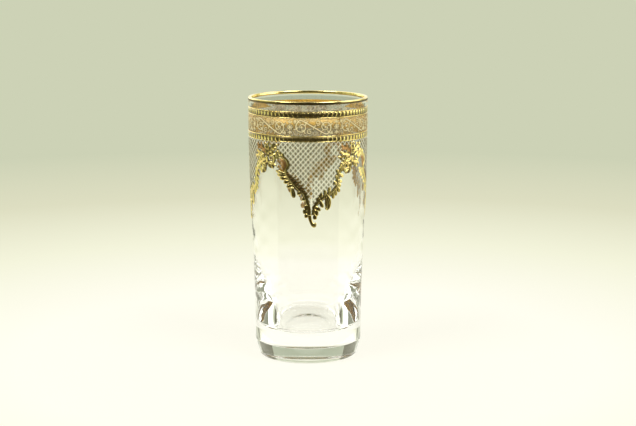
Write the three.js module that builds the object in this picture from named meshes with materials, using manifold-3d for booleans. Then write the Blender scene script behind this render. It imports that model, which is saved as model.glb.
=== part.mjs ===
// Long drink glass with a gilded rim, two gold bead bands, an etched scroll frieze and four gold swags.
// Millimetres, +Z up. The origin is the middle of the foot, on the surface that the glass stands on.
// Turns are counted round the glass from the front, -Y, towards +X.
import * as THREE from "three";
import { mergeVertices } from "three/addons/utils/BufferGeometryUtils.js";
import Module from "manifold-3d";

// Glass body
const GLASS_HEIGHT = 150.4;
const MOUTH_RADIUS = 34;
const FOOT_RADIUS = 30.7;
const FLARE_START = 12;
const FLARE_LENGTH = 124;
const LIP_WALL = 1.6;
const SHOULDER_WALL = 2.2;
const BASE_THICKNESS = 16.5;
const BOWL_DEPTH = 47.5;
const BOWL_FLOOR_RADIUS = 16.5;
const BOWL_FILLET = 3.5;
const BOWL_LEAN = 16;
const BOWL_EASE = 0.4;
const FOOT_LEAN = 16.5;
const FOOT_LEAN_HEIGHT = 9.6;
const FOOT_EDGE_HEIGHT = 1.3;
const FOOT_EDGE_INSET = 2.2;
const STANDING_RING = 7.3;
const PUNT_DEPTH = 0.3;
const PUNT_FLAT_SHARE = 0.7;

// Layers on the outside of the wall
const FILM_GAP = 0.12;
const SATIN_FILM = 0.1;
const LAYER_GAP = 0.1;
const RELIEF = 0.3;
const RELIEF_EDGE = 0.12;
const EDGE_GAP = 0.2;

// Gilded rim and bead bands, counted down from the lip
const RIM_DEPTH = 1.6;
const RIM_FILM = 0.25;
const UPPER_BAND_DROP = 5.2;
const UPPER_BAND = 3.7;
const FRIEZE = 9.9;
const LOWER_BAND = 3.5;
const BEADS = 80;
const BAND_EDGE = 0.34;
const BEAD_CROWN = 0.34;
const BEAD_VALLEY = 0.14;

// Frieze
const FRIEZE_UNITS = 8;
const SCROLL_TURNS = 1.25;
const SCROLL_EYE = 0.9;
const SCROLL_HALF_WIDTH = 0.55;
const SCROLL_TAPER = 0.5;
const SCROLL_MARGIN = 0.9;
const ROSETTE_RADIUS = 1.9;
const ROSETTE_PETALS = 6;
const ROSETTE_NOTCH = 0.5;
const ROSETTE_GAP = 0.7;

// Swags and the lattice above them
const SWAGS = 4;
const LATTICE_END_GAP = 0.4;
const SWAG_TURN = 5.3;
const SWAG_DROP = 41;
const STEM_HALF_WIDTH = 0.75;
const LOBE = 1.3;
const LOBE_PITCH = 3;
const STEM_TIP = 0.3;
const DROP_HALF_WIDTH = 1.05;
const CREST_LENGTH = 17;
const CREST_HALF_WIDTH = 4.2;
const CREST_CLEARANCE = 0.9;
const PENDANT_HALF_WIDTH = 0.55;
const PENDANT_TAPER = 0.7;
const PENDANT_CURL = 1.1;
const PENDANT_CURL_START = 200;
const PENDANT_CURL_END = 420;
const PENDANT_LEAN = 2.2;
const PENDANT_LENGTH = 7;
const PENDANT_CLEARANCE = 0.9;

// Fineness of the facets
const RING_STEPS = 48;
const FOOT_STEPS = 4;
const LIP_STEPS = 4;
const WALL_STEP = 18;
const CURVE_STEPS = 5;
const SCROLL_STEPS = 8;
const SCROLL_STATIONS = 28;
const PENDANT_STATIONS = 16;
const DROP_STATIONS = 7;
const LATTICE_COLUMNS = 26;
const LATTICE_ROWS = 3;
const EDGE_SAMPLES = 200;

// Heights and layers that follow from these sizes
const lipRadius = LIP_WALL / 2;
const wallTop = GLASS_HEIGHT - lipRadius;
const shoulderHeight = BASE_THICKNESS + BOWL_DEPTH;
const upperBandTop = GLASS_HEIGHT - UPPER_BAND_DROP;
const upperBandFoot = upperBandTop - UPPER_BAND;
const friezeFoot = upperBandFoot - FRIEZE;
const friezeMiddle = upperBandFoot - FRIEZE / 2;
const lowerBandFoot = friezeFoot - LOWER_BAND;
const swagJoint = lowerBandFoot - SWAG_DROP;
const satinTop = FILM_GAP + SATIN_FILM;
const reliefBase = satinTop + LAYER_GAP;
const swagStep = 360 / SWAGS;

const gold = new THREE.MeshStandardMaterial({ color: 0xd9b44a, roughness: 0.25, metalness: 1 });
const clearGlass = new THREE.MeshStandardMaterial({
  color: 0xf2f5ee,
  roughness: 0.03,
  metalness: 0,
  transparent: true,
  opacity: 0.35,
});
const satinGlass = new THREE.MeshStandardMaterial({ color: 0xd6cfb4, roughness: 0.6, metalness: 0 });

const wasm = await Module();
wasm.setup();

const radians = THREE.MathUtils.degToRad;
const lerp = THREE.MathUtils.lerp;

// Radius of the outside of the wall above the foot's rounded edge: the foot leans in and the mouth flares
function outerRadius(height) {
  const flare = THREE.MathUtils.smoothstep(height, FLARE_START, FLARE_START + FLARE_LENGTH);
  const lean = Math.max(FOOT_LEAN_HEIGHT - height, 0) * Math.tan(radians(FOOT_LEAN));
  return lerp(FOOT_RADIUS, MOUTH_RADIUS, flare) - lean;
}

// Radius of the inside of the wall between the shoulder and the lip
function innerRadius(height) {
  const rise = (height - shoulderHeight) / (wallTop - shoulderHeight);
  return outerRadius(height) - lerp(SHOULDER_WALL, LIP_WALL, rise);
}

// A point on the wall, lifted off the glass
function onWall(turn, height, lift) {
  const radius = outerRadius(height) + lift;
  return new THREE.Vector3(radius * Math.sin(turn), -radius * Math.cos(turn), height);
}

// The wall unrolled: x runs round the glass in millimetres, y is the height
function unrolled(degrees, height) {
  return new THREE.Vector2(radians(degrees) * outerRadius(height), height);
}

function fromUnrolled(point, turn, lift) {
  return onWall(turn + point.x / outerRadius(point.y), point.y, lift);
}

// Turns every triangle outward by the sign of the enclosed volume
function facingOut(positions, indices) {
  let volume = 0;
  const corners = [new THREE.Vector3(), new THREE.Vector3(), new THREE.Vector3()];
  for (let i = 0; i < indices.length; i += 3) {
    corners.forEach((corner, k) => corner.fromArray(positions, 3 * indices[i + k]));
    volume += corners[0].dot(corners[1].clone().cross(corners[2]));
  }
  return volume > 0 ? indices : indices.slice().reverse();
}

function solid(points, indices) {
  const positions = points.flatMap((point) => point.toArray());
  const geometry = new THREE.BufferGeometry();
  geometry.setAttribute("position", new THREE.Float32BufferAttribute(positions, 3));
  geometry.setIndex(facingOut(positions, indices));
  geometry.computeVertexNormals();
  return geometry;
}

// Joins a row of like sections into one closed solid, round a ring or with a cap at each end
function loft(sections, closed) {
  const size = sections[0].length;
  const last = (sections.length - 1) * size;
  const indices = [];
  const steps = closed ? sections.length : sections.length - 1;
  for (let i = 0; i < steps; i += 1) {
    const here = i * size;
    const next = ((i + 1) % sections.length) * size;
    for (let j = 0; j < size; j += 1) {
      const k = (j + 1) % size;
      indices.push(here + j, here + k, next + k, here + j, next + k, next + j);
    }
  }
  for (let j = 1; j < size - 1 && !closed; j += 1) {
    indices.push(0, j + 1, j);
    indices.push(last, last + j, last + j + 1);
  }
  return solid(sections.flat(), indices);
}

// A solid of revolution round Z from radius and height pairs
function turned(profile) {
  const points = profile.map(([radius, height]) => new THREE.Vector2(radius, height));
  const geometry = new THREE.LatheGeometry(points, RING_STEPS);
  geometry.rotateX(Math.PI / 2);
  return geometry;
}

// Outline of the lip, grown by an offset, from the outside over the top to the inside
function lipArc(offset) {
  const middle = outerRadius(wallTop) - lipRadius;
  const radius = lipRadius + offset;
  const arc = [];
  for (let i = 0; i <= LIP_STEPS; i += 1) {
    const angle = (Math.PI * i) / LIP_STEPS;
    arc.push([middle + radius * Math.cos(angle), wallTop + radius * Math.sin(angle)]);
  }
  return arc;
}

function glassBody() {
  const profile = [];
  const edgeRadius = outerRadius(FOOT_EDGE_HEIGHT);
  const footFlat = edgeRadius - FOOT_EDGE_INSET;
  const puntRadius = footFlat - STANDING_RING;
  profile.push([0, PUNT_DEPTH]);
  for (let i = 0; i <= FOOT_STEPS; i += 1) {
    const share = lerp(PUNT_FLAT_SHARE, 1, i / FOOT_STEPS);
    const fall = THREE.MathUtils.smoothstep(share, PUNT_FLAT_SHARE, 1);
    profile.push([puntRadius * share, PUNT_DEPTH * (1 - fall)]);
  }
  for (let i = 0; i <= FOOT_STEPS; i += 1) {
    const angle = (Math.PI / 2) * (i / FOOT_STEPS);
    const height = FOOT_EDGE_HEIGHT * (1 - Math.cos(angle));
    profile.push([lerp(footFlat, edgeRadius, Math.sin(angle)), height]);
  }
  const wallSteps = Math.ceil((wallTop - FOOT_LEAN_HEIGHT) / WALL_STEP);
  for (let i = 0; i < wallSteps; i += 1) {
    const height = lerp(FOOT_LEAN_HEIGHT, wallTop, i / wallSteps);
    profile.push([outerRadius(height), height]);
  }
  profile.push(...lipArc(0));
  const bowlSteps = Math.ceil((wallTop - shoulderHeight) / WALL_STEP);
  for (let i = 1; i < bowlSteps; i += 1) {
    const height = lerp(wallTop, shoulderHeight, i / bowlSteps);
    profile.push([innerRadius(height), height]);
  }
  profile.push(...bowl());
  profile.push([0, BASE_THICKNESS]);
  return turned(profile);
}

// The inside of the bowl, from the shoulder down a leaning side and a fillet to its flat floor
function bowl() {
  const lean = radians(BOWL_LEAN);
  const shoulder = new THREE.Vector2(innerRadius(shoulderHeight), shoulderHeight);
  const filletStart = new THREE.Vector2(
    BOWL_FLOOR_RADIUS + BOWL_FILLET * Math.cos(lean),
    BASE_THICKNESS + BOWL_FILLET * (1 - Math.sin(lean)),
  );
  const reach = (shoulder.y - filletStart.y) * BOWL_EASE;
  const side = new THREE.CubicBezierCurve(
    shoulder,
    new THREE.Vector2(shoulder.x, shoulder.y - reach),
    new THREE.Vector2(filletStart.x + reach * Math.tan(lean), filletStart.y + reach),
    filletStart,
  );
  const points = side.getPoints(CURVE_STEPS).map((point) => [point.x, point.y]);
  for (let i = 1; i <= CURVE_STEPS; i += 1) {
    const angle = lerp(lean, Math.PI / 2, i / CURVE_STEPS);
    const height = BASE_THICKNESS + BOWL_FILLET * (1 - Math.sin(angle));
    points.push([BOWL_FLOOR_RADIUS + BOWL_FILLET * Math.cos(angle), height]);
  }
  return points;
}

// Gold over the lip, down the outside and the inside of it
function rimGilding() {
  const foot = GLASS_HEIGHT - RIM_DEPTH;
  const skin = (offset) => {
    const arc = lipArc(offset);
    const outside = outerRadius(foot) + offset;
    const inside = innerRadius(foot) - offset;
    return [[outside, foot], ...arc, [inside, foot]];
  };
  const outer = skin(FILM_GAP + RIM_FILM);
  const inner = skin(FILM_GAP).reverse();
  const profile = [...outer, ...inner];
  profile.push(outer[0]);
  return turned(profile);
}

// A gold band: two raised edges with a row of beads between them
function beadBand(foot, tall) {
  const sections = [];
  for (let i = 0; i < 2 * BEADS; i += 1) {
    const turn = (Math.PI * i) / BEADS;
    const crown = i % 2 === 0 ? BEAD_CROWN : BEAD_VALLEY;
    sections.push([
      onWall(turn, foot, FILM_GAP),
      onWall(turn, foot, FILM_GAP + BAND_EDGE),
      onWall(turn, foot + tall / 2, FILM_GAP + crown),
      onWall(turn, foot + tall, FILM_GAP + BAND_EDGE),
      onWall(turn, foot + tall, FILM_GAP),
    ]);
  }
  return loft(sections, true);
}

// The satin ground of the frieze, a thin ring between the bands
function friezeGround() {
  const foot = friezeFoot + EDGE_GAP;
  const top = upperBandFoot - EDGE_GAP;
  const at = (height, lift) => [outerRadius(height) + lift, height];
  return turned([
    at(foot, FILM_GAP),
    at(foot, satinTop),
    at(top, satinTop),
    at(top, FILM_GAP),
    at(foot, FILM_GAP),
  ]);
}

// One section of a raised ribbon: its two edges, the ridge between them and the middle of its underside
function ribbonSection(middle, across, halfWidth, turn) {
  const leftEdge = middle.clone().addScaledVector(across, halfWidth);
  const rightEdge = middle.clone().addScaledVector(across, -halfWidth);
  return [
    fromUnrolled(rightEdge, turn, reliefBase),
    fromUnrolled(middle, turn, reliefBase + RELIEF),
    fromUnrolled(leftEdge, turn, reliefBase),
    fromUnrolled(middle, turn, reliefBase),
  ];
}

// A raised ribbon on the wall along an unrolled curve, with its half width given at each station
function ribbon(curve, stations, turn, halfWidth) {
  const sections = [];
  for (let i = 0; i < stations; i += 1) {
    const share = i / (stations - 1);
    const along = curve.getTangentAt(share);
    const across = new THREE.Vector2(-along.y, along.x);
    sections.push(ribbonSection(curve.getPointAt(share), across, halfWidth(share, i), turn));
  }
  return loft(sections, false);
}

// One unit of the frieze: an S-scroll that winds in at both ends
function friezeScroll(unit) {
  const halfUnit = (Math.PI * outerRadius(friezeMiddle)) / FRIEZE_UNITS;
  const coil = FRIEZE / 2 - SCROLL_MARGIN - SCROLL_HALF_WIDTH;
  const eyeAt = halfUnit - ROSETTE_RADIUS - ROSETTE_GAP - SCROLL_HALF_WIDTH - coil;
  const steps = Math.ceil(SCROLL_STEPS * SCROLL_TURNS);
  const half = [];
  for (let i = 0; i <= steps; i += 1) {
    const share = i / steps;
    const radius = lerp(SCROLL_EYE, coil, share);
    const angle = Math.PI / 2 + (1 - share) * SCROLL_TURNS * 2 * Math.PI;
    half.push(new THREE.Vector2(-eyeAt + radius * Math.cos(angle), radius * Math.sin(angle)));
  }
  const other = half.map((point) => point.clone().negate()).reverse();
  const middle = new THREE.Vector2(0, friezeMiddle);
  const points = [...half, new THREE.Vector2(), ...other].map((point) => point.add(middle));
  const turn = radians(SWAG_TURN) + (2 * Math.PI * unit) / FRIEZE_UNITS;
  const halfWidth = (share) => SCROLL_HALF_WIDTH * lerp(SCROLL_TAPER, 1, Math.sin(Math.PI * share));
  return ribbon(new THREE.SplineCurve(points), SCROLL_STATIONS, turn, halfWidth);
}

// A petalled boss between two scrolls of the frieze
function friezeRosette(unit) {
  const turn = radians(SWAG_TURN) + (2 * Math.PI * (unit + 0.5)) / FRIEZE_UNITS;
  const count = 2 * ROSETTE_PETALS;
  const points = [];
  for (const lift of [reliefBase, reliefBase + RELIEF_EDGE]) {
    for (let i = 0; i < count; i += 1) {
      const radius = ROSETTE_RADIUS - (i % 2) * ROSETTE_NOTCH;
      const angle = (2 * Math.PI * i) / count;
      const corner = new THREE.Vector2(radius * Math.cos(angle), friezeMiddle + radius * Math.sin(angle));
      points.push(fromUnrolled(corner, turn, lift));
    }
  }
  const under = points.push(onWall(turn, friezeMiddle, reliefBase)) - 1;
  const crown = points.push(onWall(turn, friezeMiddle, reliefBase + RELIEF)) - 1;
  const indices = [];
  for (let i = 0; i < count; i += 1) {
    const k = (i + 1) % count;
    indices.push(under, k, i);
    indices.push(i, k, count + k, i, count + k, count + i);
    indices.push(crown, count + i, count + k);
  }
  return solid(points, indices);
}

// Centre lines of a swag: turn in degrees from its point, and share of the drop from its joint
// up to the lower band
function swagCurve(points) {
  return new THREE.SplineCurve(
    points.map(([degrees, rise]) => unrolled((degrees * swagStep) / 90, swagJoint + rise * SWAG_DROP)),
  );
}

const leftBranchCurve = swagCurve([
  [-40.5, 0.76],
  [-33, 0.8],
  [-26.4, 0.755],
  [-24.8, 0.68],
  [-27, 0.61],
  [-25.4, 0.535],
  [-20.6, 0.45],
  [-15.2, 0.375],
  [-9.8, 0.31],
  [-6.8, 0.22],
  [-5, 0.11],
  [-4.2, 0.03],
]);

const rightBranchCurve = swagCurve([
  [-0.4, 0.03],
  [1, 0.12],
  [4.2, 0.18],
  [8.8, 0.235],
  [15.2, 0.285],
  [21, 0.34],
  [24.3, 0.415],
  [24.4, 0.505],
  [26, 0.58],
  [30.4, 0.655],
  [35.2, 0.715],
  [40.5, 0.76],
]);

const leftDropCurve = swagCurve([
  [-18.6, 0.4],
  [-20.4, 0.34],
  [-19.6, 0.27],
]);

const rightDropCurve = swagCurve([
  [13.6, 0.26],
  [16.2, 0.2],
  [15.8, 0.13],
  [12.6, 0.09],
]);

// A leafy branch: a stem with lobes on both sides, tapered to both ends
function branch(curve, turn) {
  const lobes = Math.round(curve.getLength() / LOBE_PITCH);
  const stations = 2 * lobes + 1;
  const halfWidth = (share, i) => {
    const taper = Math.sqrt(Math.sin(Math.PI * share));
    const lobe = i % 2 === 1 ? LOBE : 0;
    return lerp(STEM_TIP, STEM_HALF_WIDTH + lobe, taper);
  };
  return ribbon(curve, stations, turn, halfWidth);
}

// A small leaf that hangs from a branch
function hangingLeaf(curve, turn) {
  const halfWidth = (share) => lerp(STEM_TIP, DROP_HALF_WIDTH, Math.sin(Math.PI * share));
  return ribbon(curve, DROP_STATIONS, turn, halfWidth);
}

function asManifold(geometry) {
  const bare = geometry.clone();
  bare.deleteAttribute("normal");
  const merged = mergeVertices(bare);
  return new wasm.Manifold(
    new wasm.Mesh({
      numProp: 3,
      vertProperties: new Float32Array(merged.attributes.position.array),
      triVerts: new Uint32Array(merged.index.array),
    }),
  );
}

// One closed solid from two that overlap
function joined(first, second) {
  const mesh = asManifold(first).add(asManifold(second)).getMesh();
  const geometry = new THREE.BufferGeometry();
  geometry.setAttribute("position", new THREE.Float32BufferAttribute(mesh.vertProperties, 3));
  geometry.setIndex(Array.from(mesh.triVerts));
  geometry.computeVertexNormals();
  return geometry;
}

// The leaf spray where two swags meet under the lower band
function crest(turn) {
  // Half widths down the crest's length, both as shares of the greatest
  const outline = [
    [0, 0.15],
    [0.07, 0.75],
    [0.15, 0.5],
    [0.24, 1],
    [0.33, 0.5],
    [0.43, 0.28],
    [0.53, 0.22],
    [0.62, 0.4],
    [0.71, 0.7],
    [0.79, 0.42],
    [0.88, 0.5],
    [1, 0.1],
  ];
  const top = lowerBandFoot - CREST_CLEARANCE;
  const sections = outline.map(([place, spread]) => {
    const height = top - place * CREST_LENGTH;
    const halfWidth = CREST_HALF_WIDTH * spread;
    return ribbonSection(new THREE.Vector2(0, height), new THREE.Vector2(1, 0), halfWidth, turn);
  });
  return loft(sections, false);
}

// The stem that hangs from the swag's joint and curls up at its end
function pendant(turn) {
  const start = swagJoint - PENDANT_CLEARANCE;
  const curlMiddle = new THREE.Vector2(PENDANT_CURL, start - PENDANT_LENGTH + PENDANT_CURL);
  const points = [
    new THREE.Vector2(-PENDANT_LEAN, start),
    new THREE.Vector2(-0.7 * PENDANT_LEAN, start - PENDANT_LENGTH / 2),
  ];
  for (let i = 0; i <= CURVE_STEPS; i += 1) {
    const angle = radians(lerp(PENDANT_CURL_START, PENDANT_CURL_END, i / CURVE_STEPS));
    const arm = new THREE.Vector2(Math.cos(angle), Math.sin(angle)).multiplyScalar(PENDANT_CURL);
    points.push(arm.add(curlMiddle));
  }
  const halfWidth = (share) => PENDANT_HALF_WIDTH * lerp(1, PENDANT_TAPER, share);
  return ribbon(new THREE.SplineCurve(points), PENDANT_STATIONS, turn, halfWidth);
}

// The lowest height of a swag's centre lines near a turn, or the lower band's where there is none
function swagEdge(degrees) {
  const points = [leftBranchCurve, rightBranchCurve].flatMap((curve) => curve.getSpacedPoints(EDGE_SAMPLES));
  const near = points.filter((point) => Math.abs(point.x - unrolled(degrees, point.y).x) < STEM_HALF_WIDTH);
  return Math.min(lowerBandFoot, ...near.map((point) => point.y));
}

// The satin lattice between the lower band and a swag, as one thin sheet
function latticePanel(turn) {
  const reach = swagStep / 2 - LATTICE_END_GAP;
  const top = lowerBandFoot - EDGE_GAP;
  const sections = [];
  let foot = swagEdge(-reach);
  for (let i = 0; i <= LATTICE_COLUMNS; i += 1) {
    const degrees = lerp(-reach, reach, i / LATTICE_COLUMNS);
    const edge = swagEdge(degrees);
    foot = edge < lowerBandFoot ? edge : foot;
    const section = [];
    for (let j = 0; j < LATTICE_ROWS; j += 1) {
      section.push(onWall(turn + radians(degrees), lerp(foot, top, j / (LATTICE_ROWS - 1)), FILM_GAP));
    }
    for (let j = LATTICE_ROWS - 1; j >= 0; j -= 1) {
      section.push(onWall(turn + radians(degrees), lerp(foot, top, j / (LATTICE_ROWS - 1)), satinTop));
    }
    sections.push(section);
  }
  return loft(sections, false);
}

const glass = new THREE.Group();

function add(name, geometry, material) {
  const mesh = new THREE.Mesh(geometry, material);
  mesh.name = name;
  glass.add(mesh);
}

add("glass_body", glassBody(), clearGlass);
add("rim_gilding", rimGilding(), gold);
add("upper_bead_band", beadBand(upperBandFoot, UPPER_BAND), gold);
add("lower_bead_band", beadBand(lowerBandFoot, LOWER_BAND), gold);
add("frieze_ground", friezeGround(), satinGlass);
for (let unit = 0; unit < FRIEZE_UNITS; unit += 1) {
  add(`frieze_scroll_${unit + 1}`, friezeScroll(unit), satinGlass);
  add(`frieze_rosette_${unit + 1}`, friezeRosette(unit), satinGlass);
}
for (let swag = 0; swag < SWAGS; swag += 1) {
  const turn = radians(SWAG_TURN + swag * swagStep);
  const left = joined(branch(leftBranchCurve, turn), hangingLeaf(leftDropCurve, turn));
  const right = joined(branch(rightBranchCurve, turn), hangingLeaf(rightDropCurve, turn));
  add(`lattice_panel_${swag + 1}`, latticePanel(turn), satinGlass);
  add(`garland_left_${swag + 1}`, left, gold);
  add(`garland_right_${swag + 1}`, right, gold);
  add(`garland_crest_${swag + 1}`, crest(turn + radians(swagStep / 2)), gold);
  add(`pendant_curl_${swag + 1}`, pendant(turn), gold);
}

export default glass;
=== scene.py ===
import math

import bmesh
import bpy
import numpy as np
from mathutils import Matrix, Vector


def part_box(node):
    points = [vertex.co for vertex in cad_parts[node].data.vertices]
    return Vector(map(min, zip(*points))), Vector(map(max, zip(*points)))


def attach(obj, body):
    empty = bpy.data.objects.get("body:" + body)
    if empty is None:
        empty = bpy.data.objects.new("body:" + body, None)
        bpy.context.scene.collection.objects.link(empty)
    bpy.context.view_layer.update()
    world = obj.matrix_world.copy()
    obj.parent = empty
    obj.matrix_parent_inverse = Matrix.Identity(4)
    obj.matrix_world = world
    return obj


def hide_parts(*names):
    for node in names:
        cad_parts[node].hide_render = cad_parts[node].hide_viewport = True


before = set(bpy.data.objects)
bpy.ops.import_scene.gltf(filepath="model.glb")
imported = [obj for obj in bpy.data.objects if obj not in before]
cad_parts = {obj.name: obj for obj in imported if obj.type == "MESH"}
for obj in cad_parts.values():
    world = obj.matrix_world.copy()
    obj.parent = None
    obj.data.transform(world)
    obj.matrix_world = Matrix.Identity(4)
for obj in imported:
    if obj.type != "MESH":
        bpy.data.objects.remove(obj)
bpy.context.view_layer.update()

# Sizes are in millimetres, and MM turns them into Blender's metres
MM = 0.001


def heights(node):
    """Lowest and highest level of a CAD node."""
    low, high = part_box(node)
    return low.z / MM, high.z / MM


# The glass, from the CAD body and from the sizes that it was made with
GLASS_HEIGHT = heights("glass_body")[1]
MOUTH_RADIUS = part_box("glass_body")[1].x / MM
FOOT_RADIUS = 30.7
FLARE_START = 12
FLARE_LENGTH = 124
LIP_WALL = 1.6
SHOULDER_WALL = 2.2
BASE_THICKNESS = 16.5
BOWL_DEPTH = 47.5
BOWL_FLOOR_RADIUS = 16.5
BOWL_FILLET = 3.5
BOWL_LEAN = math.radians(16)
BOWL_EASE = 0.4
FOOT_LEAN = math.radians(16.5)
FOOT_LEAN_HEIGHT = 9.6
FOOT_CREASE = 0.2
FOOT_EDGE_HEIGHT = 1.3
FOOT_EDGE_INSET = 2.2
STANDING_RING = 7.3
PUNT_DEPTH = 0.3
PUNT_FLAT_SHARE = 0.7
LIP_RADIUS = LIP_WALL / 2
WALL_TOP = GLASS_HEIGHT - LIP_RADIUS
SHOULDER = BASE_THICKNESS + BOWL_DEPTH
RING_STEPS = 288
ON_AXIS = 1e-6

# Rings of points along the glass's outline
PUNT_RINGS = 9
EDGE_RINGS = 19
FOOT_RINGS = 8
WALL_RINGS = 60
LIP_RINGS = 13
INSIDE_RINGS = 40
BOWL_RINGS = 33
FILLET_RINGS = 15

# Unevenness of the bowl: its size, the heights over which it fades, its share at front and back, and its
# ripples. Each ripple has a share, a number of waves round the glass and the height that it climbs in one
# radian.
WAVE = 0.045
WAVE_START = 4
WAVE_FULL = 18
WAVE_LIP = 20
WAVE_FRONT = 0.15
RIPPLES = ((1.0, 3, 7.0), (1.0, 5, -4.1), (0.7, 9, 2.3), (0.5, 14, -1.9))

# Ornament: how deep it is bedded in the glass, and where its bands lie
BED = 0.05
UPPER_BAND = heights("upper_bead_band")
LOWER_BAND = heights("lower_bead_band")
FRIEZE = (LOWER_BAND[1], UPPER_BAND[0])
FRIEZE_MIDDLE = sum(FRIEZE) / 2

# Gold over the lip
RIM_FOOT = heights("rim_gilding")[0]
RIM_FILM = 0.14
RIM_SQUARE = 0.55
RIM_LEAN = 0.5
RIM_RINGS = 25
# Rings of dark gold at the foot of the rim's gold outside: a painted shade line
RIM_SHADE_RINGS = 2

# Bead bands
EDGE_LINE = 0.22
EDGE_LINE_LIFT = 0.16
BAND_FILM = 0.04
BEADS = 80
BEAD_LIFT = 0.16
BEAD_FILL = 0.97
BEAD_CLEARANCE = 3.4 * EDGE_LINE

# Etched frieze
SATIN_FILM = 0.03
SATIN_GAP = 0.01
ETCH_LIFT = 0.12
ETCH_BORDER = 0.34
BORDER_LIFT_SHARE = 0.5
FRIEZE_UNITS = 8
SCROLL_OUTER = 3.7
SCROLL_EYE = 0.9
SCROLL_TURNS = 1.3
SCROLL_CLEARANCE = 0.4
ROSETTE_REACH = 2.6

# Swags, the crests between them and the lattice above them
SWAGS = 4
SWAG_TURN = 5.3
SWAG_DROP = 41
SWAG_JOINT = LOWER_BAND[0] - SWAG_DROP
HALF_SWAG = math.pi / SWAGS
CREST_RISE = 0.76
CREST_SHIFT = math.radians(-3)
SWAG_EDGE_REACH = 0.8
LATTICE_CELL = (2.9, 3.2)
LATTICE_UNDER_BAND = 0.1
RIB_UNDER_SWAG = 0.3
RIB_STEPS = 60
RIB_REACH = 30
SEED_TO_SIDE = 0.8
SEED_TO_SWAG = 1.2
SEED_REACH = 12
SEED_ROWS = 30
SKIN_STEPS = 121
SKIN_ROWS = 13
RIB_HALF_WIDTH = 0.18
RIB_LIFT = 0.08
SEED = (0.25, 0.75)
SEED_LIFT = 0.14

# Leaves and stems
MEMBRANE_LIFT = 0.1
BLADE_MARGIN = 0.1
LEAF_LIFT = 0.3
STEM_LIFT = 0.34
LEAF_TIP = 0.04
LEAF_SHOULDER = 0.6
LEAF_BASE = 0.45
BEAD_HEAD = 0.4
GROOVE_DEPTH = 0.75
GROOVE_HALF_WIDTH = 0.2
RIDGE_GROOVE = 0.36

# Points on a few kinds of curve
SPLINE_STEPS = 16
COIL_POINTS = 14
STEM_POINTS = 150

# How much deeper each shell of a piece is bedded than the one before, and after how many it starts again
SHELL_STEP = 0.001
SHELL_STEPS = 40

# Places of the materials on a relief piece. The shade slot takes a dark material that is painted shade.
UNDERSIDE = 1
SHADE_SLOT = 2
HOOK = 3


def smoothstep(value, low, high):
    share = np.clip((np.asarray(value, float) - low) / (high - low), 0, 1)
    return share * share * (3 - 2 * share)


def outer_radius(height):
    """Outside of the wall above the foot's rounded edge: the foot leans in and the mouth flares."""
    flare = smoothstep(height, FLARE_START, FLARE_START + FLARE_LENGTH)
    lean = np.maximum(FOOT_LEAN_HEIGHT - np.asarray(height, float), 0) * math.tan(FOOT_LEAN)
    return FOOT_RADIUS + (MOUTH_RADIUS - FOOT_RADIUS) * flare - lean


def inner_radius(height):
    """Inside of the wall between the shoulder and the lip."""
    rise = (height - SHOULDER) / (WALL_TOP - SHOULDER)
    return outer_radius(height) - (SHOULDER_WALL + (LIP_WALL - SHOULDER_WALL) * rise)


def on_wall(points, turn=0.0):
    """Points of the unrolled wall (x round the glass, y up, lift off the glass) as Blender coordinates."""
    x, y, lift = np.asarray(points, float).T
    angle = turn + x / outer_radius(y)
    radius = outer_radius(y) + lift
    return np.stack([radius * np.sin(angle), -radius * np.cos(angle), y], axis=1) * MM


# Materials


def new_material(name):
    material = bpy.data.materials.new(name)
    material.use_nodes = True
    tree = material.node_tree
    return material, tree, tree.nodes["Principled BSDF"]


def noise(tree, scale, detail=3.0, roughness=0.55):
    """Noise in the object's own space, at a scale in features a metre."""
    place = tree.nodes.new("ShaderNodeTexCoord")
    node = tree.nodes.new("ShaderNodeTexNoise")
    node.inputs["Scale"].default_value = scale
    node.inputs["Detail"].default_value = detail
    node.inputs["Roughness"].default_value = roughness
    tree.links.new(place.outputs["Object"], node.inputs["Vector"])
    return node.outputs["Fac"]


def ramp(tree, source, low, high, start=0.3, end=0.7):
    """A colour or number that runs from low to high with the source."""
    node = tree.nodes.new("ShaderNodeValToRGB")
    node.color_ramp.elements[0].position = start
    node.color_ramp.elements[1].position = end
    for element, value in zip(node.color_ramp.elements, (low, high)):
        element.color = (*value, 1) if isinstance(value, tuple) else (value, value, value, 1)
    tree.links.new(source, node.inputs["Fac"])
    return node.outputs["Color"]


def bump(tree, shader, source, distance, strength=1.0):
    node = tree.nodes.new("ShaderNodeBump")
    node.inputs["Strength"].default_value = strength
    node.inputs["Distance"].default_value = distance
    tree.links.new(source, node.inputs["Height"])
    tree.links.new(node.outputs["Normal"], shader.inputs["Normal"])


def metal(name, pale, deep, smooth, worn, metallic=1.0, gloss=0.5):
    """Fired gold: its tone and polish drift a little, and its skin is finely grained."""
    material, tree, shader = new_material(name)
    shader.inputs["Metallic"].default_value = metallic
    shader.inputs["Specular IOR Level"].default_value = gloss
    tree.links.new(ramp(tree, noise(tree, 260), deep, pale), shader.inputs["Base Color"])
    tree.links.new(ramp(tree, noise(tree, 420), smooth, worn), shader.inputs["Roughness"])
    bump(tree, shader, noise(tree, 2600, 2.0), 0.00001)
    return material


def clear_glass():
    """Blown glass: clear, with a polish that is a shade less perfect here and there."""
    material, tree, shader = new_material("clear_glass")
    shader.inputs["Base Color"].default_value = (1.0, 1.0, 0.99, 1)
    shader.inputs["Transmission Weight"].default_value = 1.0
    shader.inputs["IOR"].default_value = 1.52
    tree.links.new(ramp(tree, noise(tree, 90), 0.0, 0.02), shader.inputs["Roughness"])
    return material


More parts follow.
